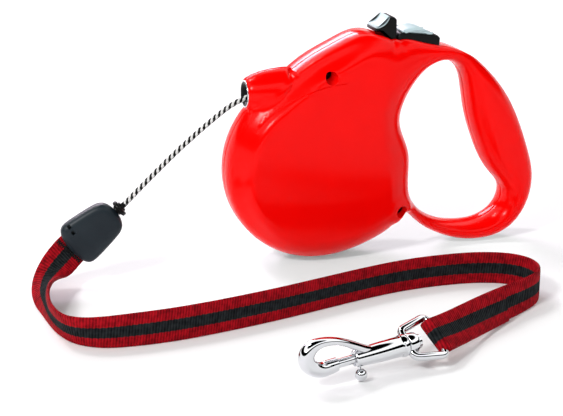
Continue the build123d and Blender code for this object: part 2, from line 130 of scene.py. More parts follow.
# Tape: points of its middle line, and the way to the edge that is lower on the floor
TAPE_STATIONS = (
    ((-155.0, -6.3, 22.6), (-0.60, 0.15, 0.78)),
    ((-161.0, -6.2, 18.0), (-0.60, 0.15, 0.78)),
    ((-166.0, -7.2, 13.2), (-0.64, 0.42, 0.62)),
    ((-170.8, -10.8, 9.6), (-0.66, 0.66, 0.28)),
    ((-174.6, -17.0, 7.6), (-0.72, 0.62, -0.22)),
    ((-177.4, -26.0, 7.0), (-0.66, 0.30, -0.66)),
    ((-178.7, -37.5, 7.2), (-0.30, 0.08, -0.95)),
    ((-179.7, -50.5, 7.6), (0.0, 0.02, -1.0)),
    ((-179.2, -64.3, 7.6), (0.20, 0.12, -0.97)),
    ((-174.8, -77.6, 7.5), (0.28, 0.24, -0.93)),
    ((-163.5, -84.9, 7.7), (0.13, 0.15, -0.98)),
    ((-148.0, -86.1, 8.0), (0.0, 0.03, -1.0)),
    ((-131.5, -85.7, 8.0), DOWN),
    ((-114.5, -83.5, 8.0), DOWN),
    ((-96.5, -80.2, 8.0), DOWN),
    ((-78.0, -76.2, 8.0), DOWN),
    ((-58.0, -70.9, 8.0), DOWN),
    ((-36.0, -65.1, 8.0), DOWN),
    ((-14.0, -60.4, 8.0), DOWN),
    ((7.0, -59.3, 8.0), DOWN),
    ((25.0, -60.8, 8.0), DOWN),
    ((39.0, -66.0, 8.0), DOWN),
    ((46.0, -74.5, 8.0), DOWN),
    ((46.4, -84.0, 8.0), DOWN),
    ((41.5, -92.2, 8.0), (0.0, -0.05, -1.0)),
    ((32.5, -98.2, 8.0), (0.0, -0.12, -0.99)),
    ((19.5, -104.6, 8.0), (0.04, -0.25, -0.97)),
    ((6.0, -112.2, 8.2), (0.08, -0.42, -0.90)),
    ((-8.0, -121.4, 8.9), (0.13, -0.60, -0.78)),
    ((-19.5, -129.8, 9.9), (0.16, -0.74, -0.65)),
    ((-29.0, -136.0, 11.0), (0.18, -0.80, -0.57)),
)
TAPE_ROUTE = tuple(place for place, _ in TAPE_STATIONS)


# ---------- camera
def set_camera():
    """Camera at the photograph's viewing angle."""
    back = Vector((
        sin(CAMERA_AZIMUTH) * cos(CAMERA_ELEVATION),
        -cos(CAMERA_AZIMUTH) * cos(CAMERA_ELEVATION),
        sin(CAMERA_ELEVATION),
    ))
    turn = Quaternion(back, CAMERA_ROLL) @ back.to_track_quat("Z", "Y")
    place = (Vector(CAMERA_TARGET) + back * CAMERA_DISTANCE) * MM
    data = bpy.data.cameras.new("camera")
    data.lens = CAMERA_LENS
    data.sensor_width = 36.0
    data.clip_start = 0.01
    camera = bpy.data.objects.new("camera", data)
    bpy.context.scene.collection.objects.link(camera)
    camera.matrix_world = Matrix.Translation(place) @ turn.to_matrix().to_4x4()
    bpy.context.scene.camera = camera


set_camera()


# ---------- mesh helpers
def link(name, mesh):
    """Object in the scene that holds a mesh or a curve."""
    obj = bpy.data.objects.new(name, mesh)
    bpy.context.scene.collection.objects.link(obj)
    return obj


def solid(name, points, faces, smooth_angle=35.0):
    """Object from points in millimetres, smooth where its faces meet at less than the angle."""
    mesh = bpy.data.meshes.new(name)
    mesh.from_pydata((np.asarray(points, float) * MM).tolist(), [], faces)
    return finish_mesh(link(name, mesh), smooth_angle)


def finish_mesh(obj, smooth_angle=35.0):
    """Turns every face outwards and shades it smooth up to an angle."""
    mesh = obj.data
    form = bmesh.new()
    form.from_mesh(mesh)
    bmesh.ops.recalc_face_normals(form, faces=form.faces)
    form.to_mesh(mesh)
    form.free()
    mesh.shade_smooth()
    mesh.set_sharp_from_angle(angle=radians(smooth_angle))
    return obj


def loft(rings, capped=True, looped=False):
    """Points and faces of a skin over rings of equal count."""
    rings = np.asarray(rings, float)
    count, around = rings.shape[:2]
    faces = []
    for i in range(count if looped else count - 1):
        j = (i + 1) % count
        for k in range(around):
            m = (k + 1) % around
            faces.append((i * around + k, i * around + m, j * around + m, j * around + k))
    if capped and not looped:
        faces.append(tuple(range(around))[::-1])
        faces.append(tuple(range((count - 1) * around, count * around)))
    return rings.reshape(-1, 3), faces


def join(name, parts, smooth_angle=35.0):
    """One object from several (points, faces) pairs."""
    points, faces, start = [], [], 0
    for part_points, part_faces in parts:
        points.extend(np.asarray(part_points, float).tolist())
        faces.extend(tuple(start + i for i in face) for face in part_faces)
        start += len(part_points)
    return solid(name, points, faces, smooth_angle)


def turns(count):
    """Cosine and sine of even steps round a circle."""
    return [(cos(2 * pi * k / count), sin(2 * pi * k / count)) for k in range(count)]


def turned(profile, axis_start, axis_dir, segments=64, looped=False):
    """Skin of (along, radius) pairs turned about an axis; looped if they are a closed outline."""
    along = Vector(axis_dir).normalized()
    side = along.orthogonal().normalized()
    other = along.cross(side)
    rings = []
    for distance, radius in profile:
        middle = Vector(axis_start) + along * distance
        rings.append([tuple(middle + (side * c + other * s) * radius) for c, s in turns(segments)])
    return loft(rings, capped=not looped, looped=looped)


def rounded_profile(points, radius, steps=4):
    """Outline in a plane with each corner rounded."""
    points = [np.array(p, float) for p in points]
    rounded = []
    for i, corner in enumerate(points):
        before = points[i - 1] - corner
        after = points[(i + 1) % len(points)] - corner
        reach = min(radius, 0.45 * np.linalg.norm(before), 0.45 * np.linalg.norm(after))
        start = corner + before / np.linalg.norm(before) * reach
        end = corner + after / np.linalg.norm(after) * reach
        for step in range(steps + 1):
            t = step / steps
            rounded.append((1 - t) ** 2 * start + 2 * t * (1 - t) * corner + t**2 * end)
    return rounded


def frame_of(placed):
    """Matrix, in millimetres, of a frame given as origin, X and Z."""
    origin, x_axis, z_axis = (Vector(v) for v in placed)
    x_axis.normalize()
    z_axis = (z_axis - x_axis * z_axis.dot(x_axis)).normalized()
    y_axis = z_axis.cross(x_axis)
    turn = Matrix((x_axis, y_axis, z_axis)).transposed().to_4x4()
    return Matrix.Translation(origin) @ turn


def placed(part, matrix):
    """A (points, faces) pair moved by a matrix."""
    points, faces = part
    return [tuple(matrix @ Vector(p)) for p in points], faces


def bevelled_prism(outline, y0, y1, bevel, steps=4):
    """Prism along Y over an outline in X and Z, with rounded rims."""
    outline = np.array(outline, float)
    centre_in = inward(outline)
    rings = []
    for edge, way in ((y0, 1), (y1, -1)):
        for step in range(steps + 1)[::way]:
            angle = pi / 2 * step / steps
            ring = outline + centre_in * bevel * (1 - sin(angle))
            rings.append([(x, edge + way * bevel * (1 - cos(angle)), z) for x, z in ring])
    return loft(rings)


def inward(outline):
    """Unit vectors into a closed outline at its points."""
    tangent = np.roll(outline, -1, 0) - np.roll(outline, 1, 0)
    tangent /= np.maximum(np.linalg.norm(tangent, axis=1), 1e-9)[:, None]
    normal = np.stack((-tangent[:, 1], tangent[:, 0]), axis=1)
    ahead = np.roll(outline, -1, 0)
    twice_area = np.sum(outline[:, 0] * ahead[:, 1] - ahead[:, 0] * outline[:, 1])
    return normal * np.sign(twice_area)


# ---------- cord and tape
def route_line(name, route, resolution=20):
    """Points along the NURBS spline of a route, in millimetres."""
    curve = bpy.data.curves.new(name, "CURVE")
    curve.dimensions = "3D"
    spline = curve.splines.new("NURBS")
    spline.points.add(len(route) - 1)
    for point, place in zip(spline.points, route):
        point.co = (*place, 1.0)
    spline.order_u = 3
    spline.use_endpoint_u = True
    spline.resolution_u = resolution
    guide = link(name, curve)
    depsgraph = bpy.context.evaluated_depsgraph_get()
    mesh = bpy.data.meshes.new_from_object(guide.evaluated_get(depsgraph))
    line = np.array([vertex.co for vertex in mesh.vertices])
    bpy.data.objects.remove(guide)
    return line


def run_along(line):
    """Distance along a line at each of its points."""
    return np.r_[0, np.cumsum(np.linalg.norm(np.diff(line, axis=0), axis=1))]


def even(line, step):
    """The same line with points at even distances, and those distances."""
    run = run_along(line)
    at = np.linspace(0, run[-1], int(round(run[-1] / step)) + 1)
    return np.stack([np.interp(at, run, column) for column in line.T], axis=1), at


def unit(rows):
    """Rows scaled to length 1."""
    return rows / np.linalg.norm(rows, axis=1)[:, None]


def tangents(line):
    """Unit directions along a line at its points."""
    return unit(np.gradient(line, axis=0))


def set_lengthwise(obj, along, across):
    """Stores distance along and across a woven piece on its vertices, for its material."""
    layer = obj.data.attributes.new("weave", "FLOAT_VECTOR", "POINT")
    values = np.stack((along, across, np.zeros_like(along)), axis=1)
    layer.data.foreach_set("vector", values.ravel())


def make_cord():
    """Eight strands braided over and under each other round a core."""
    line, at = even(route_line("cord_route", CORD_ROUTE), 0.25)
    side = unit(np.cross(tangents(line), (0.0, 1.0, 0.0)))
    other = np.cross(tangents(line), side)
    around = 8
    parts, tones = [], []

    def add_strand(centre, out, wide, half_wide, half_thick, tone):
        """Flat oval thread along a line; tone is 0 for black and 1 for white."""
        parts.append(loft([
            [centre[i] + out[i] * half_thick * c + wide[i] * half_wide * s for c, s in turns(around)]
            for i in range(len(centre))
        ]))
        tones.extend([tone] * len(parts[-1][1]))

    for turn in (1, -1):
        for strand in range(4):
            angle = turn * 2 * pi * at / BRAID_PITCH + strand * pi / 2
            lift = turn * 0.09 * np.cos(8 * pi * at / BRAID_PITCH)
            out = side * np.cos(angle)[:, None] + other * np.sin(angle)[:, None]
            centre = line + out * (0.98 + lift)[:, None]
            run = tangents(centre)
            wide = np.cross(out, run)
            add_strand(centre, out, wide, 0.60, 0.27, strand % 2)
    add_strand(line, side, other, 0.8, 0.8, 0)
    cord = join("cord_braid", parts, 60.0)
    for material in (materials["cord_braid"], cord_white):
        cord.data.materials.append(material)
    cord.data.polygons.foreach_set("material_index", tones)
    across = np.array([s for _, s in turns(around)] * len(line))
    set_lengthwise(cord, np.tile(np.repeat(at, around), len(parts)), np.tile(across, len(parts)))
    return cord, line


def tape_section():
    """Closed outline of the tape: (across, through) pairs, a little thicker between its edges."""
    half_w, half_t = TAPE_W / 2, TAPE_T / 2
    across = np.sin(np.linspace(-pi / 2, pi / 2, 27)) * 0.35 + np.linspace(-1, 1, 27) * 0.65
    upper = [(half_w * u, half_t * (1 - abs(u) ** 14) ** 0.5) for u in across[1:-1]]
    lower = [(u, -t) for u, t in upper[::-1]]
    return np.array([(-half_w, 0.0)] + upper + [(half_w, 0.0)] + lower)


def smoothed(values, reach):
    """Running mean over rows, ends repeated."""
    padded = np.vstack((np.repeat(values[:1], reach, 0), values, np.repeat(values[-1:], reach, 0)))
    total = np.cumsum(np.vstack((np.zeros((1, values.shape[1])), padded)), axis=0)
    span = 2 * reach + 1
    return (total[span:] - total[:-span]) / span


def tape_frames(line, at):
    """Width and facing directions along the tape's middle line."""
    tangent = tangents(line)
    stations = [at[np.argmin(np.linalg.norm(line - place, axis=1))] for place in TAPE_ROUTE]
    ways = np.array([way for _, way in TAPE_STATIONS])
    width = np.stack([np.interp(at, stations, ways[:, i]) for i in range(3)], axis=1)
    width = smoothed(width, 40)
    width = unit(width - tangent * np.sum(width * tangent, axis=1)[:, None])
    return width, np.cross(width, tangent)


def make_tape():
    """One band: out of the connector, along the floor, round the eye's bar and back to the seam."""
    line, at = even(route_line("tape_route", TAPE_ROUTE), RIB / 6)
    width, facing = tape_frames(line, at)
    to_bar = at[-1] - at
    opening = np.clip(1 - to_bar / 15.0, 0, 1) ** 2
    front = line + facing * (opening * LOOP_R)[:, None]
    back = line - facing * (TAPE_T + 0.05 + opening * (LOOP_R - TAPE_T - 0.05))[:, None]
    sewn = to_bar < SEAM_LENGTH
    end_width, end_facing = width[-1], facing[-1]
    forward = np.cross(end_facing, end_width)
    sweep = np.linspace(0, pi, 40)[1:-1]
    spokes = np.outer(np.cos(sweep), end_facing) + np.outer(np.sin(sweep), forward)
    bend = line[-1] + LOOP_R * spokes
    middle = np.vstack((front, bend, back[sewn][::-1]))
    spread = np.vstack((width, np.repeat(width[-1:], len(bend), 0), width[sewn][::-1]))
    outward = np.vstack((facing, spokes, -facing[sewn][::-1]))
    run = run_along(middle)
    section = tape_section()
    swell = 1 + 0.07 * np.cos(2 * pi * run / RIB)
    rings, along, across = [], [], []
    for i in range(len(middle)):
        u, t = section[:, 0], section[:, 1] * swell[i]
        ring = middle[i] + np.outer(u, spread[i]) + np.outer(t, outward[i])
        ring[:, 2] += max(0.0, 0.05 - ring[:, 2].min())
        rings.append(ring)
        along.append(np.full(len(section), run[i]))
        across.append(u)
    points, faces = loft(rings)
    tape = solid("tape_webbing", points, faces, 50.0)
    set_lengthwise(tape, np.concatenate(along), np.concatenate(across))
    return tape, line, at


def capsule(start, end, radius, around=8):
    """Thread between two points, with rounded ends."""
    run = Vector(end) - Vector(start)
    length = run.length
    profile = [(-radius, 0.0), (-0.7 * radius, 0.7 * radius), (0.0, radius), (length, radius),
               (length + 0.7 * radius, 0.7 * radius), (length + radius, 0.0)]
    return turned(profile, start, run, around)


def make_stitches(line, at):
    """Rows of thread over the seam at the hook, and a dark bar of thread near the connector."""
    width, facing = tape_frames(line, at)

    lift = TAPE_T / 2 + 0.08

    def place(distance, across):
        """Point on the tape's outer face."""
        i = int(np.clip(np.searchsorted(at, distance), 0, len(at) - 1))
        return tuple(line[i] + width[i] * across + facing[i] * lift)

    seam, bar = [], []
    first, last = at[-1] - SEAM_LENGTH + 1.5, at[-1] - SEAM_LENGTH + 15.0
    for across in (-6.6, 6.6):
        for d in np.arange(first, last, STITCH_STEP):
            seam.append(capsule(place(d, across), place(d + STITCH_L, across), 0.2))
    for d in (first, last):
        for across in np.arange(-6.0, 6.0, STITCH_STEP):
            seam.append(capsule(place(d, across), place(d, across + STITCH_L), 0.2))
    for k in range(26):
        side = -7.0 + k * 0.56
        shift = 1.6 if k % 2 else 0.0
        bar.append(capsule(place(8.4 + shift, side), place(10.0 - shift, side + 0.5), 0.26))
    threads = join("seam_stitches", seam, 60.0)
    threads.data.materials.append(red_thread)
    dress(threads, "tape_web", "housing")
    piece("connector_stitches", bar, 60.0, "black_plastic", "housing")


# ---------- materials
def feed(tree, value, socket):
    """Wires an output to a socket, or sets the socket to a constant."""
    if isinstance(value, bpy.types.NodeSocket):
        tree.links.new(value, socket)
    else:
        socket.default_value = value


def feed_all(tree, node, inputs):
    """Feeds a node's inputs, whose names have _ for each space."""
    for name, value in inputs.items():
        feed(tree, value, node.inputs[name.replace("_", " ")])


def added(tree, kind, output, **inputs):
    """Output of a new node with its inputs fed."""
    node = tree.nodes.new("ShaderNode" + kind)
    feed_all(tree, node, inputs)
    return node.outputs[output]


def new_material(name, colour, roughness, **inputs):
    """Material, its node tree and its shader."""
    material = bpy.data.materials.new(name)
    material.use_nodes = True
    tree = material.node_tree
    shader = tree.nodes["Principled BSDF"]
    feed_all(tree, shader, {"Base_Color": (*colour, 1.0), "Roughness": roughness, **inputs})
    return material, tree, shader


def noise(tree, scale, detail=3.0):
    """Noise fixed to the object, scale in waves to the metre."""
    place = added(tree, "TexCoord", "Object")
    return added(tree, "TexNoise", "Fac", Scale=scale, Detail=detail, Vector=place)


def ramp(tree, value, stops):
    """Colours over a value, from (position, colour) stops."""
    steps = tree.nodes.new("ShaderNodeValToRGB")
    while len(steps.color_ramp.elements) < len(stops):
        steps.color_ramp.elements.new(0.5)
    for element, (position, colour) in zip(steps.color_ramp.elements, stops):
        element.position = position
        element.color = (*colour, 1.0)
    tree.links.new(value, steps.inputs["Fac"])
    return steps.outputs["Color"]


def relief(tree, shader, height, strength, distance):
    """Bumps in a surface, from a pattern of heights."""
    normal = added(tree, "Bump", "Normal", Strength=strength, Distance=distance, Height=height)
    tree.links.new(normal, shader.inputs["Normal"])


def gloss(tree, shader, marks, low, high):
    """Roughness that varies between two values with a pattern of marks."""
    uneven = added(tree, "MapRange", "Result", Value=marks, To_Min=low, To_Max=high)
    tree.links.new(uneven, shader.inputs["Roughness"])


def grained(name, dark, light, roughness, grain=900.0, depth=0.00004, **inputs):
    """Moulded or cast surface: slight mottling, fine grain and uneven gloss."""
    material, tree, shader = new_material(name, dark, roughness, **inputs)
    mottled = ramp(tree, noise(tree, 55.0), ((0.3, dark), (0.7, light)))
    tree.links.new(mottled, shader.inputs["Base Color"])
    fine = noise(tree, grain, 2.0)
    gloss(tree, shader, fine, roughness * 0.85, roughness * 1.15)
    relief(tree, shader, fine, 0.25, depth)
    return material


def metal(name, colour, roughness, grain):
    """Metal with fine marks in its polish."""
    material, tree, shader = new_material(name, colour, roughness, Metallic=1.0)
    marks = noise(tree, grain, 4.0)
    gloss(tree, shader, marks, roughness * 0.7, roughness * 1.4)
    relief(tree, shader, marks, 0.06, 0.00005)
    return material


def weave_value(tree, direction):
    """Distance along (X) or across (Y) a woven piece, as stored on it."""
    stored = tree.nodes.new("ShaderNodeAttribute")
    stored.attribute_name = "weave"
    return added(tree, "SeparateXYZ", direction, Vector=stored.outputs["Vector"])


def calculated(tree, operation, *values):
    """Output of a math node over values or outputs."""
    node = tree.nodes.new("ShaderNodeMath")
    node.operation = operation
    for socket, value in zip(node.inputs, values):
        feed(tree, value, socket)
    return node.outputs["Value"]


def strand_material(name, dark, light):
    """Filaments that run along a braid's strand."""
    material, tree, shader = new_material(name, dark, 0.75, Specular_IOR_Level=0.1)
    across = weave_value(tree, "Y")
    threads = calculated(tree, "SINE", calculated(tree, "MULTIPLY", across, 14.0))
    shade = calculated(tree, "MULTIPLY_ADD", threads, 0.25, noise(tree, 2200.0))
    tree.links.new(ramp(tree, shade, ((0.2, dark), (0.75, light))), shader.inputs["Base Color"])
    relief(tree, shader, shade, 0.6, 0.00008)
    return material


def tape_material():
    """Red webbing with a black centre stripe, woven in ribs across its length."""
    material, tree, shader = new_material("tape_webbing", (0.3, 0.005, 0.01), 0.6,
                                          Specular_IOR_Level=0.03)
    along, across = weave_value(tree, "X"), weave_value(tree, "Y")
    # Ribs lean a little, and each rib is a row of crossing threads
    lean = calculated(tree, "MULTIPLY_ADD", across, 0.12, along)
    rib = calculated(tree, "COSINE", calculated(tree, "MULTIPLY", lean, 2 * pi / RIB))
    warp = calculated(tree, "COSINE", calculated(tree, "MULTIPLY", across, 2 * pi / 0.55))
    weave = calculated(tree, "MULTIPLY_ADD", warp, 0.35, rib)
    # The stripe's edge steps to and fro with the threads
    tooth = calculated(tree, "PINGPONG", along, 1.3)
    edge = calculated(tree, "MULTIPLY_ADD", tooth, 0.22, 2.55)
    outside = calculated(tree, "SUBTRACT", calculated(tree, "ABSOLUTE", across), edge)
    stripe = added(tree, "MapRange", "Result", Value=outside, From_Min=-0.12, From_Max=0.12)
    shade = calculated(tree, "MULTIPLY_ADD", weave, 0.16, noise(tree, 420.0))
    red = ramp(tree, shade, ((0.25, (0.13, 0.002, 0.005)), (0.75, (0.44, 0.006, 0.013))))
    black = ramp(tree, shade, ((0.25, (0.004, 0.005, 0.006)), (0.75, (0.022, 0.026, 0.028))))
    mix = tree.nodes.new("ShaderNodeMix")
    mix.data_type = "RGBA"
    tree.links.new(stripe, mix.inputs["Factor"])
    tree.links.new(black, mix.inputs["A"])
    tree.links.new(red, mix.inputs["B"])
    tree.links.new(mix.outputs["Result"], shader.inputs["Base Color"])
    relief(tree, shader, weave, 0.8, 0.00012)
    return material


materials = {
    "shell_red": grained("shell_red", (0.90, 0.0006, 0.0002), (0.94, 0.0008, 0.0003), 0.18,
                         grain=1400.0, depth=0.000008, Specular_IOR_Level=0.11),
    "black_plastic": grained("black_plastic", (0.0012, 0.0013, 0.0015), (0.0025, 0.0026, 0.003), 0.3,
                             Specular_IOR_Level=0.14),
    "grey_plastic": grained("grey_plastic", (0.46, 0.60, 0.63), (0.52, 0.66, 0.69), 0.4),
    "connector_grey": grained("connector_grey", (0.012, 0.019, 0.025), (0.018, 0.027, 0.034), 0.38,
                              grain=1500.0, depth=0.00005, Specular_IOR_Level=0.2),
    "reel_plastic": grained("reel_plastic", (0.62, 0.61, 0.57), (0.70, 0.69, 0.65), 0.5),
    "steel": metal("steel", (0.52, 0.52, 0.53), 0.28, 700.0),
    "spring_steel": metal("spring_steel", (0.28, 0.29, 0.32), 0.3, 900.0),
    "chrome": metal("chrome", (0.66, 0.67, 0.69), 0.05, 260.0),
    "cord_braid": strand_material("cord_black", (0.002, 0.002, 0.002), (0.012, 0.012, 0.012)),
    "tape_web": tape_material(),
}
screw_black = metal("screw_black", (0.02, 0.02, 0.022), 0.35, 900.0)
cord_white = strand_material("cord_white", (0.55, 0.55, 0.53), (0.92, 0.92, 0.90))
red_thread = strand_material("red_thread", (0.10, 0.002, 0.004), (0.42, 0.006, 0.012))


def dress(obj, slot, body, *replaced):
    """Gives a piece its slot's material unless it has its own, its body and the CAD nodes it stands for."""
    if not obj.data.materials:
        obj.data.materials.append(materials[slot])
    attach(obj, body)
    if replaced:
        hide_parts(*replaced)
    return obj


def piece(name, parts, smooth_angle, slot, body, *replaced):
    """Joins parts to one dressed object."""
    return dress(join(name, parts, smooth_angle), slot, body, *replaced)


cord_object, cord_line = make_cord()
tape_object, tape_line, tape_at = make_tape()
dress(cord_object, "cord_braid", "housing", "cord")
dress(tape_object, "tape_web", "housing", "tape")
make_stitches(tape_line, tape_at)


# ---------- case shells
def closed_curve(points, count):
    """Smooth closed curve through points: a periodic cubic spline, sampled evenly."""
    p = np.array(list(points) + [points[0]], float)
    h = np.linalg.norm(np.diff(p, axis=0), axis=1)
    t = np.r_[0, np.cumsum(h)]
    n = len(points)
    system, right = np.zeros((n, n)), np.zeros((n, 2))
    for i in range(n):
        before, after = h[i - 1], h[i]
        system[i, i - 1] += before
        system[i, i] += 2 * (before + after)
        system[i, (i + 1) % n] += after
        right[i] = 6 * ((p[i + 1] - p[i]) / after - (p[i] - p[i - 1 if i else n - 1]) / before)
    bend = np.linalg.solve(system, right)
    bend = np.vstack((bend, bend[:1]))
    u = np.linspace(0, t[-1], count, endpoint=False)
    k = np.clip(np.searchsorted(t, u, side="right") - 1, 0, n - 1)
    span = h[k][:, None]
    s = (u - t[k])[:, None]
    r = span - s
    curve = (bend[k] * r**3 + bend[k + 1] * s**3) / (6 * span)
    curve += (p[k] / span - bend[k] * span / 6) * r + (p[k + 1] / span - bend[k + 1] * span / 6) * s
    return curve


def casing_curve():
    """Outline of the round casing, without the grip and the hump."""
    belly = []
    for angle in range(135, 271, 15):
        turn = radians(angle)
        belly.append((BELLY_X + BELLY_R[0] * cos(turn), REEL_Z + BELLY_R[1] * sin(turn)))
    keel = [(-20.0, 2.2), (-7.0, 6.8), (3.0, 12.6), (8.8, 20.0)]
    fingers = [(10.0, 30.0), (8.0, 43.0), (4.5, 56.0), (2.5, 68.0), (3.5, 80.0), (5.6, 91.0)]
    top = [(5.0, 101.5), (0.6, 108.6), (-6.0, 111.9), (-14.0, 113.3), (-26.5, 109.3)]
    shoulder = [(-42.0, 101.6), (-56.0, 91.9)]
    return closed_curve(belly + keel + fingers + top + shoulder, 1500)


def grip_curve():
    """Outer edge of the grip, closed through the casing."""
    return closed_curve((
        (12.0, 18.4), (19.5, 11.6), (30.0, 5.2), (40.0, 1.5), (51.0, 0.1), (61.0, 1.1),
        (70.3, 5.5), (77.5, 13.8), (81.5, 25.0), (81.6, 36.5), (78.7, 47.0), (73.3, 61.0),
        (65.4, 76.3), (56.0, 88.2), (45.2, 97.5), (32.0, 103.6), (16.0, 107.4), (3.0, 109.2),
        (-6.0, 98.0), (-8.0, 78.0), (-6.0, 56.0), (-3.0, 36.0), (3.0, 24.0),
    ), 1500)


def hand_curve():
    """Opening for the hand."""
    return closed_curve((
        (29.0, 97.2), (38.0, 92.0), (41.8, 82.0), (44.6, 68.0), (49.5, 53.5), (59.5, 35.3),
        (66.6, 24.5), (64.5, 16.8), (56.0, 10.8), (43.0, 9.6), (30.0, 12.3), (19.4, 18.8),
        (12.8, 29.0), (12.0, 40.0), (11.4, 52.0), (6.2, 68.0), (9.8, 81.0), (18.5, 92.6),
    ), 1200)


def is_inside(points, outline):
    """For each point, whether it lies inside a closed outline."""
    x, z = points[:, 0][:, None], points[:, 1][:, None]
    ax, az = outline[:, 0], outline[:, 1]
    bx, bz = np.roll(ax, -1), np.roll(az, -1)
    crosses = (az > z) != (bz > z)
    reach = ax + (z - az) * (bx - ax) / np.where(bz == az, 1e-12, bz - az)
    return (np.sum(crosses & (x < reach), axis=1) % 2) == 1


def distance_to(points, outline, chunk=4000):
    """Distance from each point to a closed outline."""
    start = outline
    run = np.roll(outline, -1, 0) - start
    length = np.maximum(np.sum(run**2, axis=1), 1e-12)
    found = []
    for i in range(0, len(points), chunk):
        offset = points[i:i + chunk, None, :] - start[None]
        share = np.clip(np.sum(offset * run, axis=2) / length, 0, 1)
        gap = offset - share[..., None] * run
        found.append(np.sqrt(np.min(np.sum(gap**2, axis=2), axis=1)))
    return np.concatenate(found)


def resampled(outline, step):
    """Closed outline with points at even distances."""
    return even(np.vstack((outline, outline[:1])), step)[0][:-1]


def longest_run(points, keep):
    """Longest stretch of a closed outline whose points are all kept."""
    start = int(np.argmin(keep))
    points, keep = np.roll(points, -start, 0), np.roll(keep, -start)
    edges = np.flatnonzero(np.diff(np.r_[0, keep.astype(int), 0]))
    spans = edges.reshape(-1, 2)
    first, last = spans[np.argmax(spans[:, 1] - spans[:, 0])]
    return points[first:last]


def union(first, second):
    """Outer edge of two outlines that cross twice: each one's points outside the other, in order."""
    outside_second = longest_run(first, ~is_inside(first, second))
    outside_first = longest_run(second, ~is_inside(second, first))
    return np.vstack((outside_second, outside_first))


def nozzle_radius(x):
    """Radius of the hump round the outlet."""
    at = (-73.2, -72.6, -71.4, -69.0, -65.5, -61.0, -56.0, -50.0)
    radius = (MOUTH_R, 7.7, 8.4, 9.4, 10.5, 11.3, 11.8, 12.0)
    return np.interp(x, at, radius)


def nozzle_outline():
    """Outline of the hump round the outlet, seen from the side."""
    x = np.linspace(-50.0, OUTLET_X, 120)
    top = np.stack((x, OUTLET_Z + nozzle_radius(x)), axis=1)
    mouth_z = np.linspace(OUTLET_Z + MOUTH_R, OUTLET_Z - MOUTH_R, 30)[1:-1]
    mouth = np.stack((np.full_like(mouth_z, OUTLET_X), mouth_z), axis=1)
    bottom = np.stack((x[::-1], OUTLET_Z - nozzle_radius(x[::-1])), axis=1)
    return np.vstack((top, mouth, bottom))


def circle(x, z, radius, count):
    """Points round a circle in the mid plane."""
    angle = np.arange(count) * 2 * pi / count
    return np.stack((x + radius * np.cos(angle), z + radius * np.sin(angle)), axis=1)


CASING = casing_curve()[::4]
# The circle rounds the case under the slider, where casing and grip meet
BODY = union(union(casing_curve(), grip_curve()), circle(0.6, 100.2, 9.6, 400))
OUTER = resampled(union(BODY, nozzle_outline()), OUTLINE_STEP)
BODY = resampled(BODY, OUTLINE_STEP)
HAND = resampled(hand_curve(), OUTLINE_STEP)


def smooth(t):
    """Eases from 0 to 1."""
    t = np.clip(t, 0, 1)
    return t * t * (3 - 2 * t)


def quarter(t):
    """Rises steeply from 0 and flattens at 1, like a quarter of a circle."""
    return np.sqrt(np.maximum(0.0, 1 - (1 - np.clip(t, 0, 1)) ** 2))


def soft_max(a, b, blend):
    """The larger of two values, with the crease between them filled."""
    share = np.maximum(blend - np.abs(a - b), 0) / blend
    return np.maximum(a, b) + share * share * blend / 4


def nozzle_height(points):
    """Half thickness of the hump: round, and ending in a step that dies out towards the face."""
    x, z = points[:, 0], points[:, 1] - OUTLET_Z
    radius = nozzle_radius(x)
    end = -54.0 - 1.1 * np.maximum(5.0 - z, 0)
    fade = 1 - smooth((x - end) / (4.0 + 5.0 * smooth((6.0 - z) / 7.0)))
    return np.sqrt(np.maximum(radius**2 - z**2, 0)) * fade


def height(points):
    """Half thickness of the case at points in its mid plane."""
    to_outer = distance_to(points, BODY) * is_inside(points, BODY)
    to_hand = distance_to(points, HAND)
    edge = 1 / np.sqrt(1 / np.maximum(to_outer, 1e-4) ** 2 + 1 / np.maximum(to_hand, 1e-4) ** 2)
    # Flat landing round the lower screw
    landing = np.linalg.norm(points - np.array(SCREWS[1]), axis=1)
    edge = edge * (1 + 2.0 * np.exp(-((landing / 6.5) ** 4)))
    # Share of the thick casing against the slim grip
    in_casing = distance_to(points, CASING) * np.where(is_inside(points, CASING), 1, -1)
    fill = smooth((points[:, 1] - 78.0) / 20.0)
    body = smooth((in_casing + 5.0 + 12.0 * fill) / (17.0 + 10.0 * fill))
    # Casing: a domed face, with a stepped rim over the top and round the front
    reel = points - np.array((REEL_X, REEL_Z))
    radius = np.linalg.norm(reel, axis=1)
    turn = np.degrees(np.arctan2(reel[:, 1], reel[:, 0])) % 360
    ridge = smooth((turn - 62) / 30) * (1 - smooth((turn - 205) / 45))
    dome = CASE_HALF - 1.3 * (radius / 60) ** 2
    wall = 6.0 + 2.2 * smooth((points[:, 1] - 86.0) / 14.0)
    plain = wall + (dome - wall) * quarter(edge / 12.5)
    stepped = 7.4 + 3.3 * quarter(edge / 2.6) + (dome - 10.7) * smooth((edge - 2.0) / 7.6)
    casing = ridge * stepped + (1 - ridge) * plain
    # Grip: round all over, with a fuller rim near the controls
    rim = 1.6 + 6.6 * smooth((points[:, 1] - 92.0) / 12.0)
    grip = rim + (GRIP_HALF - rim) * quarter(edge / 9.0)
    case = (body * casing + (1 - body) * grip) * smooth(to_outer / 0.02)
    return soft_max(case, nozzle_height(points), 4.0)


def hex_points(outline, step):
    """Points of a triangular grid over an outline's box."""
    low, high = outline.min(0), outline.max(0)
    rows = []
    row_step = step * 0.866
    for row in range(int((high[1] - low[1]) / row_step) + 1):
        x = np.arange(low[0] + (row % 2) * step / 2, high[0], step)
        rows.append(np.stack((x, np.full_like(x, low[1] + row * row_step)), axis=1))
    return np.vstack(rows)


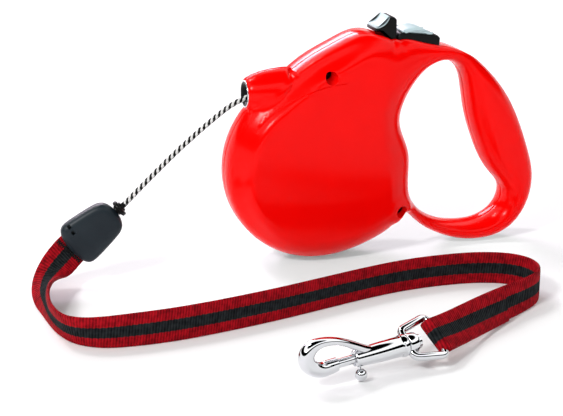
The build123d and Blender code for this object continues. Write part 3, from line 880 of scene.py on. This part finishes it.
def arc_through(first, middle, last, count):
    """Points of the arc through three points, worked out with complex numbers."""
    a, b, c = (complex(*p) for p in (first, middle, last))
    ratio = (c - a) / (b - a)
    centre = a + (b - a) * (ratio - abs(ratio) ** 2) / (2j * ratio.imag)
    angles = np.unwrap(np.angle([p - centre for p in (a, b, c)]))
    arc = centre + abs(a - centre) * np.exp(1j * np.linspace(angles[0], angles[2], count))
    return np.stack((arc.real, arc.imag), axis=1)


PANEL_LINE = arc_through((-71.0, 70.2), (-52.0, 85.6), (-27.5, 91.8), 70)
EDGE_STEPS = (0.0, 0.06, 0.2, 0.45, 0.8, 1.25, 1.85)


def sheet_between(outer, hand, step, holes, grooves):
    """Delaunay triangles over the plan between two loops, with round holes and engraved lines."""
    fill = hex_points(outer, step)
    fill = fill[is_inside(fill, outer) & ~is_inside(fill, hand)]
    clear = distance_to(fill, outer) > 0.62 * step
    clear &= distance_to(fill, hand) > 0.62 * step
    for x, z, radius in holes:
        clear &= np.hypot(fill[:, 0] - x, fill[:, 1] - z) > radius + 0.6 * step
    for line in grooves:
        gap = np.min(np.linalg.norm(fill[:, None] - line[None], axis=2), axis=1)
        clear &= gap > 0.8 * step
    fill = fill[clear]
    loops = [outer, hand] + [circle(x, z, radius, HOLE_POINTS) for x, z, radius in holes]
    points, edges = [], []
    for loop in loops:
        start = len(points)
        points.extend(loop.tolist())
        edges.extend((start + i, start + (i + 1) % len(loop)) for i in range(len(loop)))
    for line in grooves:
        start = len(points)
        points.extend(line.tolist())
        edges.extend((start + i, start + i + 1) for i in range(len(line) - 1))
    points.extend(fill.tolist())
    found, _, triangles, *_ = delaunay_2d_cdt([Vector(p) for p in points], edges, [], 0, 1e-6)
    found = np.array([tuple(p) for p in found])
    triangles = np.array([t for t in triangles if len(t) == 3])
    middle = found[triangles].mean(1)
    keep = is_inside(middle, outer) & ~is_inside(middle, hand)
    for x, z, radius in holes:
        keep &= np.hypot(middle[:, 0] - x, middle[:, 1] - z) > radius * 0.98
    return found, triangles[keep]


def shell(name, side):
    """One half of the case as a closed thin wall: side is -1 for the half with the screw heads."""
    points, faces = [], []

    def add(plan, y):
        """Adds a ring or sheet of points; gives back where it starts."""
        start = len(points)
        plan = np.asarray(plan)
        depth = np.broadcast_to(y, (len(plan),))
        points.extend((x, side * d, z) for (x, z), d in zip(plan.tolist(), depth.tolist()))
        return start

    def bridge(first, second, count=HOLE_POINTS):
        """Band of faces between two rings."""
        for k in range(count):
            m = (k + 1) % count
            faces.append((first + k, first + m, second + m, second + k))

    loops = (OUTER, HAND)
    inside = (inward(OUTER), -inward(HAND))
    border, posts = [], []
    for loop, into in zip(loops, inside):
        lip = add(loop + into * 0.5, PARTING_GAP)
        level = add(loop + into * 0.02, PARTING_GAP + 0.4)
        bridge(lip, level, len(loop))
        previous = level
        for step in EDGE_STEPS[:-1]:
            ring = loop + into * step
            y = height(ring if step else loop + into * 0.03)
            current = add(ring, y)
            bridge(previous, current, len(loop))
            previous = current
        border.append((lip, previous))
    # Outer face
    last = EDGE_STEPS[-1]
    face_loops = [loop + into * last for loop, into in zip(loops, inside)]
    holes = [(x, z, RECESS_R + 0.35) for x, z in SCREWS] if side < 0 else []
    to_side = np.array(GROOVE_SIDE)
    grooves = [PANEL_LINE, PANEL_LINE - to_side, PANEL_LINE + to_side]
    plan, triangles = sheet_between(*face_loops, MESH_STEP, holes, grooves)
    cut = np.min(np.linalg.norm(plan[:, None] - PANEL_LINE[None], axis=2), axis=1) < 0.05
    start = add(plan, height(plan) - GROOVE_DEPTH * cut)
    faces.extend(tuple((triangles[i] + start).tolist()) for i in range(len(triangles)))
    offset = start
    for (lip, previous), loop in zip(border, loops):
        bridge(previous, offset, len(loop))
        offset += len(loop)
    # Screw recesses: a rounded rim, a wall down to the seat and a bore for the screw
    for x, z, radius in holes:
        centre = np.array((x, z))
        around = circle(x, z, 1.0, HOLE_POINTS) - centre
        rim_y = height(centre + around * radius)
        current = offset
        for inset, drop in ((0.06, 0.02), (0.2, 0.1), (0.3, 0.24), (0.35, 0.45)):
            following = add(centre + around * (radius - inset), rim_y - drop)
            bridge(current, following)
            current = following
        walls = ((RECESS_R, SCREW_SEAT), (SCREW_BORE_R, SCREW_SEAT), (SCREW_BORE_R, PARTING_GAP))
        for hole_radius, level in walls:
            following = add(centre + around * hole_radius, level)
            bridge(current, following)
            current = following
        posts.append(add(centre + around * POST_R, PARTING_GAP))
        bridge(current, posts[-1])
        offset += HOLE_POINTS
    # Inner face
    inner_loops = [loop + into * WALL for loop, into in zip(loops, inside)]
    inner_holes = [(x, z, POST_R) for x, z, _ in holes]
    plan, triangles = sheet_between(*inner_loops, INNER_STEP, inner_holes, [])
    start = add(plan, np.maximum(height(plan) - WALL, 1.5))
    faces.extend(tuple((triangles[i] + start).tolist()[::-1]) for i in range(len(triangles)))
    offset = start
    for (lip, _), loop, inner in zip(border, loops, inner_loops):
        foot = add(inner, PARTING_GAP)
        bridge(offset, foot, len(loop))
        bridge(foot, lip, len(loop))
        offset += len(loop)
    for post in posts:
        bridge(offset, post)
        offset += HOLE_POINTS
    return solid(name, points, faces, 40.0)


shell_near = shell("shell_near_skin", -1)
shell_far = shell("shell_far_skin", 1)


def carve(obj, parts, crossing=False):
    """Cuts parts out of a piece; crossing for a piece whose own faces cross."""
    tool = join("tool", parts)
    modifier = obj.modifiers.new("carve", "BOOLEAN")
    modifier.operation = "DIFFERENCE"
    modifier.solver = "EXACT"
    modifier.use_self = crossing
    modifier.object = tool
    depsgraph = bpy.context.evaluated_depsgraph_get()
    mesh = bpy.data.meshes.new_from_object(obj.evaluated_get(depsgraph))
    obj.modifiers.clear()
    obj.data = mesh
    bpy.data.objects.remove(tool)
    finish_mesh(obj, 40.0)


def block(x0, x1, y0, y1, z0, z1, corner):
    """Upright block with rounded corners in plan."""
    plan = rounded_profile(((x0, y0), (x1, y0), (x1, y1), (x0, y1)), corner)
    return loft([[(x, y, z) for x, y in plan] for z in (z0, z1)])


# Openings for the button, the slider and the lever
WELLS = (
    (1.8, 25.8, -7.3, 7.3, 98.0, 125.0),
    (-9.2, 2.2, -6.4, 6.4, 104.0, 125.0),
    (-1.5, 16.2, -4.0, 7.0, 92.8, 98.6),
)
for half, node in ((shell_near, "shell_near"), (shell_far, "shell_far")):
    for well in WELLS:
        carve(half, [block(*well, 1.6)])
    bore = turned([(0, BORE_R), (38.0, BORE_R)], (-84.0, 0.0, OUTLET_Z), (1, 0, 0), 48)
    carve(half, [bore], crossing=True)
    dress(half, "shell_red", "housing", node)
    half.visible_diffuse = False    # keeps the pale floor free of red bounce


# ---------- screws
def make_screws():
    """Pan heads with a cross recess, on the seats of the near half."""
    parts = []
    for (x, z), lift in zip(SCREWS, SCREW_LIFT):
        profile = [(-7.0, 0.0), (-7.0, 1.4), (0.0, 1.4), (0.0, SCREW_HEAD_R), (0.8 + lift, SCREW_HEAD_R),
                   (1.4 + lift, 2.4), (1.7 + lift, 1.4), (1.8 + lift, 0.0)]
        parts.append(turned(profile, (x, -SCREW_SEAT, z), (0, -1, 0), 48))
    heads = join("case_screw_heads", parts, 40.0)
    for (x, z), lift in zip(SCREWS, SCREW_LIFT):
        for along, across in ((1.7, 0.42), (0.42, 1.7)):
            corners = ((x - along, z - across), (x + along, z - across),
                       (x + along, z + across), (x - along, z + across))
            levels = (-SCREW_SEAT - lift - 0.7, -SCREW_SEAT - 9)
            carve(heads, [loft([[(a, y, b) for a, b in corners] for y in levels])])
    heads.data.materials.append(screw_black)
    dress(heads, "steel", "housing", "case_screws")


make_screws()


# ---------- outlet
def make_outlet():
    """Black bush with a flared mouth, and the bright ring round it."""
    start = (OUTLET_X, 0, OUTLET_Z)
    flare = [(0.0, 6.1), (-0.35, 5.9), (-0.4, 5.6), (-0.1, 5.1), (1.2, 4.0), (3.0, 3.4),
             (8.0, 3.4), (8.0, 6.2)]
    bush = turned(flare, start, (1, 0, 0), 72, True)
    piece("outlet_bush_ring", [bush], 30.0, "black_plastic", "housing", "outlet_bush")
    rounding = [(-0.1 + 0.4 * c, BORE_R + 0.38 * s) for c, s in turns(16)]
    ring = turned(rounding, start, (1, 0, 0), 72, True)
    piece("outlet_ring_bright", [ring], 60.0, "chrome", "housing", "outlet_ring")


make_outlet()


# ---------- controls
def thumb_line(t):
    """Concave top of the slider, from its low tail to its high thumb stop."""
    return ((1 - t) ** 2 * -8.4 + 2 * t * (1 - t) * -3.6 + t * t * -1.5,
            (1 - t) ** 2 * 115.5 + 2 * t * (1 - t) * 115.6 + t * t * 120.3)


def make_controls():
    """Brake button with its domed pad, and lock slider with its thumb insert."""
    base = rounded_profile(((2.8, 101.5), (24.6, 101.5), (25.4, 109.0), (23.6, 110.6), (4.4, 112.6),
                            (2.8, 110.9)), 0.8)
    button = bevelled_prism(base, -BUTTON_HALF, BUTTON_HALF, 0.8)
    piece("brake_button_body", [button], 40.0, "black_plastic", "brake_button", "brake_button")
    first, last = PAD_X
    dome = []
    for x in np.linspace(first, last, 40):
        share = (x - first) / (last - first)
        dome.append((x, 112.9 - 2.1 * share + 2.9 * sin(pi * share) ** 0.8))
    outline = [(first, 112.4)] + dome + [(last, 110.4)]
    pad = bevelled_prism(outline, -PAD_HALF, PAD_HALF, 1.6, 6)
    piece("brake_pad_dome", [pad], 60.0, "grey_plastic", "brake_button", "brake_pad")

    line = [thumb_line(k / 12) for k in range(13)]
    wedge = [(-8.9, 113.7), (-8.8, 115.2)] + line
    wedge += [(0.8, 120.6), (2.3, 119.2), (2.4, 107.0), (-4.4, 110.0), (-4.9, 113.7)]
    slider = bevelled_prism(rounded_profile(wedge, 0.5), -SLIDER_HALF, SLIDER_HALF, 0.6)
    piece("lock_slider_body", [slider], 40.0, "black_plastic", "lock_slider", "lock_slider")
    lower = [(x, z - 0.4) for x, z in line]
    upper = [(x - 0.35, z + 0.9) for x, z in line]
    grip = rounded_profile(lower + upper[::-1], 0.3)
    insert = bevelled_prism(grip, -INSERT_HALF, INSERT_HALF, 0.4)
    piece("lock_insert_grip", [insert], 50.0, "grey_plastic", "lock_slider", "lock_insert")


make_controls()


# ---------- connector
def connector_half(side):
    """One cover of the connector: side is 1 for the front."""
    half_way = CONNECTOR_L / 2
    rings = []
    for angle in np.linspace(-pi / 2, pi / 2, 45):
        x = half_way * (1 + np.sign(sin(angle)) * abs(sin(angle)) ** 0.62)
        share = x / CONNECTOR_L
        end = abs(2 * share - 1)
        wide = (CONNECTOR_HALF_W - CONNECTOR_TAPER * share**1.6) * (1 - end**7) ** 0.5 + 0.02
        thick = CONNECTOR_HALF_T * (1 - 0.75 * end**9)
        x -= CONNECTOR_TAIL * (1 - share)
        ring = []
        for k in range(41):
            c, s = cos(pi * k / 40), sin(pi * k / 40)
            ring.append((x, wide * np.sign(c) * abs(c) ** 0.55, side * (0.05 + thick * s**0.6)))
        ring.append((x, 0.0, side * 0.05))
        rings.append(ring)
    return loft(rings)


def make_connector():
    """Two covers, with two small slots in the front one, and the collar round the cord."""
    matrix = frame_of(CONNECTOR)
    for side, node in ((1, "connector_front"), (-1, "connector_back")):
        cover = join(node + "_cover", [placed(connector_half(side), matrix)], 45.0)
        if side > 0:
            slots = [block(x, x + 1.6, y, y + 2.0, 1.7, 6.0, 0.2) for x, y in ((4.0, 8.4), (3.6, 5.2))]
            carve(cover, [placed(slot, matrix) for slot in slots])
        dress(cover, "connector_grey", "housing", node)
    collar = [(0.1, 1.38), (0.1, 2.3), (0.35, 2.6), (0.8, 2.6), (1.0, 3.7), (1.3, 4.05), (1.7, 4.15),
              (2.3, 4.15), (2.7, 4.05), (3.0, 3.7), (3.15, 2.6), (3.6, 2.45), (3.9, 2.2), (3.9, 1.38)]
    start = matrix @ Vector((CONNECTOR_L, 0, 0))
    ring = turned(collar, start, CONNECTOR[1], 56, True)
    piece("cord_collar_ring", [ring], 40.0, "black_plastic", "housing", "cord_collar")


make_connector()


# ---------- hook
def swept(path, radii, depth_radii, matrix, around=28):
    """Tube along a path in the X, Z plane, its height and its Y depth varying."""
    path = np.asarray(path, float)
    rings = []
    for p, t, r, d in zip(path, tangents(path), radii, depth_radii):
        normal = np.array((-t[1], t[0]))
        ring = []
        for c, s in turns(around):
            u = np.sign(c) * abs(c) ** 0.8 * r
            v = np.sign(s) * abs(s) ** 0.8 * d
            ring.append((p[0] + normal[0] * u, v, p[1] + normal[1] * u))
        rings.append(ring)
    return placed(loft(rings), matrix)


def open_curve(points, count):
    """Smooth curve through points with some columns: Catmull-Rom with even steps."""
    p = np.array(points, float)
    p = np.vstack((2 * p[0] - p[1], p, 2 * p[-1] - p[-2]))
    curve = []
    spans = len(p) - 3
    for u in np.linspace(0, spans, count):
        i = min(int(u), spans - 1)
        t = u - i
        a, b, c, d = p[i:i + 4]
        curve.append(0.5 * (2 * b + (c - a) * t + (2 * a - 5 * b + 4 * c - d) * t**2
                            + (3 * b - a - 3 * c + d) * t**3))
    return np.array(curve)


def eye_wire():
    """Bent wire, thinner at the bar that holds the tape."""
    corners = ((0, -9.7), (0, 10.6), (14.6, 7.0), (14.6, -6.7))
    wire = np.array(rounded_profile(corners, 2.6, 6))
    rings = []
    for (x, z), (nx, nz) in zip(wire, inward(wire)):
        radius = BAR_R + EYE_THICKER * smooth((x - 0.5) / 3.0)
        rings.append([(x + nx * radius * c, radius * s, z + nz * radius * c) for c, s in turns(24)])
    return loft(rings, looped=True)


def make_hook():
    """Wire eye, swivelling hook with its barrel, and the bolt with its knob."""
    matrix = frame_of(HOOK)
    knob_turn = Matrix.Rotation(KNOB_ANGLE, 4, "X")

    def on_axis(profile, looped=False):
        """Profile turned about the hook's axis."""
        return turned(profile, HOOK[0], HOOK[1], looped=looped)

    wire = placed(eye_wire(), matrix @ Matrix.Rotation(EYE_LEAN, 4, "X"))
    boss = [(10.9, 2.1), (10.9, 3.9), (11.2, 4.4), (11.8, 4.6), (14.8, 4.6), (15.3, 4.4), (15.6, 3.9),
            (15.6, 2.1)]
    piece("hook_eye_wire", [wire, on_axis(boss, True)], 40.0, "chrome", "hook_eye", "hook_eye")

    # Hook: swivel stem and barrel with collars, then the loop with its socket for the bolt
    stem = [(8.6, 0.0), (8.6, 2.4), (9.0, 3.1), (10.2, 3.2), (10.6, 2.9), (10.6, 1.95), (16.0, 1.95),
            (16.0, 4.2), (16.3, 4.8), (17.2, 4.9), (18.0, 4.7), (18.3, 4.2), (18.8, 4.1), (19.6, 4.4),
            (30.0, 4.2), (39.4, 3.7), (40.6, 3.5), (41.0, 3.1), (41.0, 2.1), (20.0, 2.1), (20.0, 0.0)]
    barrel = join("hook_barrel", [on_axis(stem)], 40.0)
    slot = block(29.4, 41.8, -1.2, 1.2, -6.5, 0.2, 1.1)
    carve(barrel, [placed(slot, matrix @ knob_turn)])
    dress(barrel, "chrome", "hook", "hook_body")
    # Each row of the loop: x, z, half height and half depth
    arm = open_curve((
        (33.0, 2.0, 1.8, 2.0), (36.5, 3.6, 1.8, 2.4), (41.0, 6.2, 1.7, 2.5), (45.5, 8.6, 1.5, 2.4),
        (50.5, 10.5, 1.5, 2.4), (56.0, 11.3, 1.8, 2.5), (60.4, 10.4, 2.5, 2.8), (63.0, 7.6, 3.1, 3.0),
        (63.0, 4.0, 3.4, 3.0), (60.4, 0.9, 3.3, 3.0), (56.8, -0.7, 3.1, 2.9), (53.0, -0.7, 2.9, 2.8),
        (49.6, -0.2, 2.7, 2.7),
    ), 120)
    loop = swept(arm[:, :2], arm[:, 2], arm[:, 3], matrix)
    socket = on_axis([(49.0, 0.0), (49.0, 2.3), (49.4, 2.75), (54.5, 2.6), (57.5, 1.2), (57.5, 0.0)])
    piece("hook_body_cast", [loop, socket], 40.0, "chrome", "hook")

    pin = [(31.0, 0.0), (31.0, 1.7), (31.3, 1.95), (50.4, 1.95), (50.9, 1.7), (51.0, 1.3), (51.0, 0.0)]
    piece("hook_bolt_pin", [on_axis(pin)], 40.0, "chrome", "bolt", "hook_bolt")
    direction = matrix.to_3x3() @ (knob_turn @ Vector((0, 0, -1)))
    start = matrix @ Vector((39.0, 0, 0))
    knob = [(1.6, 0.0), (1.6, 0.9), (4.6, 0.9), (4.8, 1.3)]
    for step in range(3, 16):
        angle = pi * step / 16
        knob.append((KNOB_REACH - KNOB_R * cos(angle), KNOB_R * sin(angle)))
    knob.append((KNOB_REACH + KNOB_R, 0.0))
    ball = turned(knob, start, direction, 40)
    piece("bolt_knob_ball", [ball], 50.0, "chrome", "bolt", "bolt_knob")


make_hook()


# ---------- CAD nodes that stay
for entry in frame["record"]["subparts"]:
    kept = nodes[entry["node"]]
    if kept.hide_render:
        continue
    kept.data.materials.clear()
    kept.data.materials.append(materials[entry["material_slot"]])


# ---------- floor and light
def make_floor():
    """Plain pale floor, 8 m across."""
    material, tree, shader = new_material("floor", (0.95, 0.95, 0.95), 0.9, Specular_IOR_Level=0.0)
    tint = ramp(tree, noise(tree, 6.0), ((0.3, (0.94, 0.94, 0.945)), (0.7, (0.96, 0.96, 0.96))))
    tree.links.new(tint, shader.inputs["Base Color"])
    size = 4000.0
    corners = [(-size, -size, 0), (size, -size, 0), (size, size, 0), (-size, size, 0)]
    floor = solid("floor", corners, [(0, 1, 2, 3)])
    floor.data.materials.append(material)


def area_light(name, place, aim, size, power, colour=(1, 1, 1)):
    """Rectangular lamp at a place, turned to its aim; both in metres."""
    data = bpy.data.lights.new(name, "AREA")
    data.shape = "RECTANGLE"
    data.size, data.size_y = size
    data.energy = power
    data.color = colour
    light = bpy.data.objects.new(name, data)
    bpy.context.scene.collection.objects.link(light)
    light.location = place
    light.rotation_euler = (Vector(aim) - Vector(place)).to_track_quat("-Z", "Y").to_euler()


make_floor()
area_light("key", (-1.25, -0.75, 1.2), (-0.03, 0.0, 0.06), (0.3, 0.3), 14.0)
area_light("shoulder", (-0.575, 0.6, 1.34), (-0.05, 0.0, 0.08), (0.3, 0.3), 6.0)
area_light("back_panel", (-0.15, 1.5, 0.75), (-0.05, 0.0, 0.08), (1.0, 0.3), 16.0, (1.0, 0.85, 1.0))


def make_world():
    """Studio: pale round the horizon, a dark band above it, a ring of light, and dark overhead."""
    world = bpy.data.worlds.new("studio")
    world.use_nodes = True
    tree = world.node_tree
    up = added(tree, "SeparateXYZ", "Z", Vector=added(tree, "TexCoord", "Generated"))
    pale, dark, bright = ((value,) * 3 for value in (0.9, 0.0, 1.15))
    bands = ramp(tree, up, ((0.0, pale), (0.15, pale), (0.18, dark), (0.50, dark),
                            (0.54, bright), (0.78, bright), (0.83, dark), (1.0, dark)))
    feed_all(tree, tree.nodes["Background"], {"Color": bands, "Strength": 1.45})
    return world


bpy.context.scene.world = make_world()
bpy.context.scene.view_settings.view_transform = "Standard"
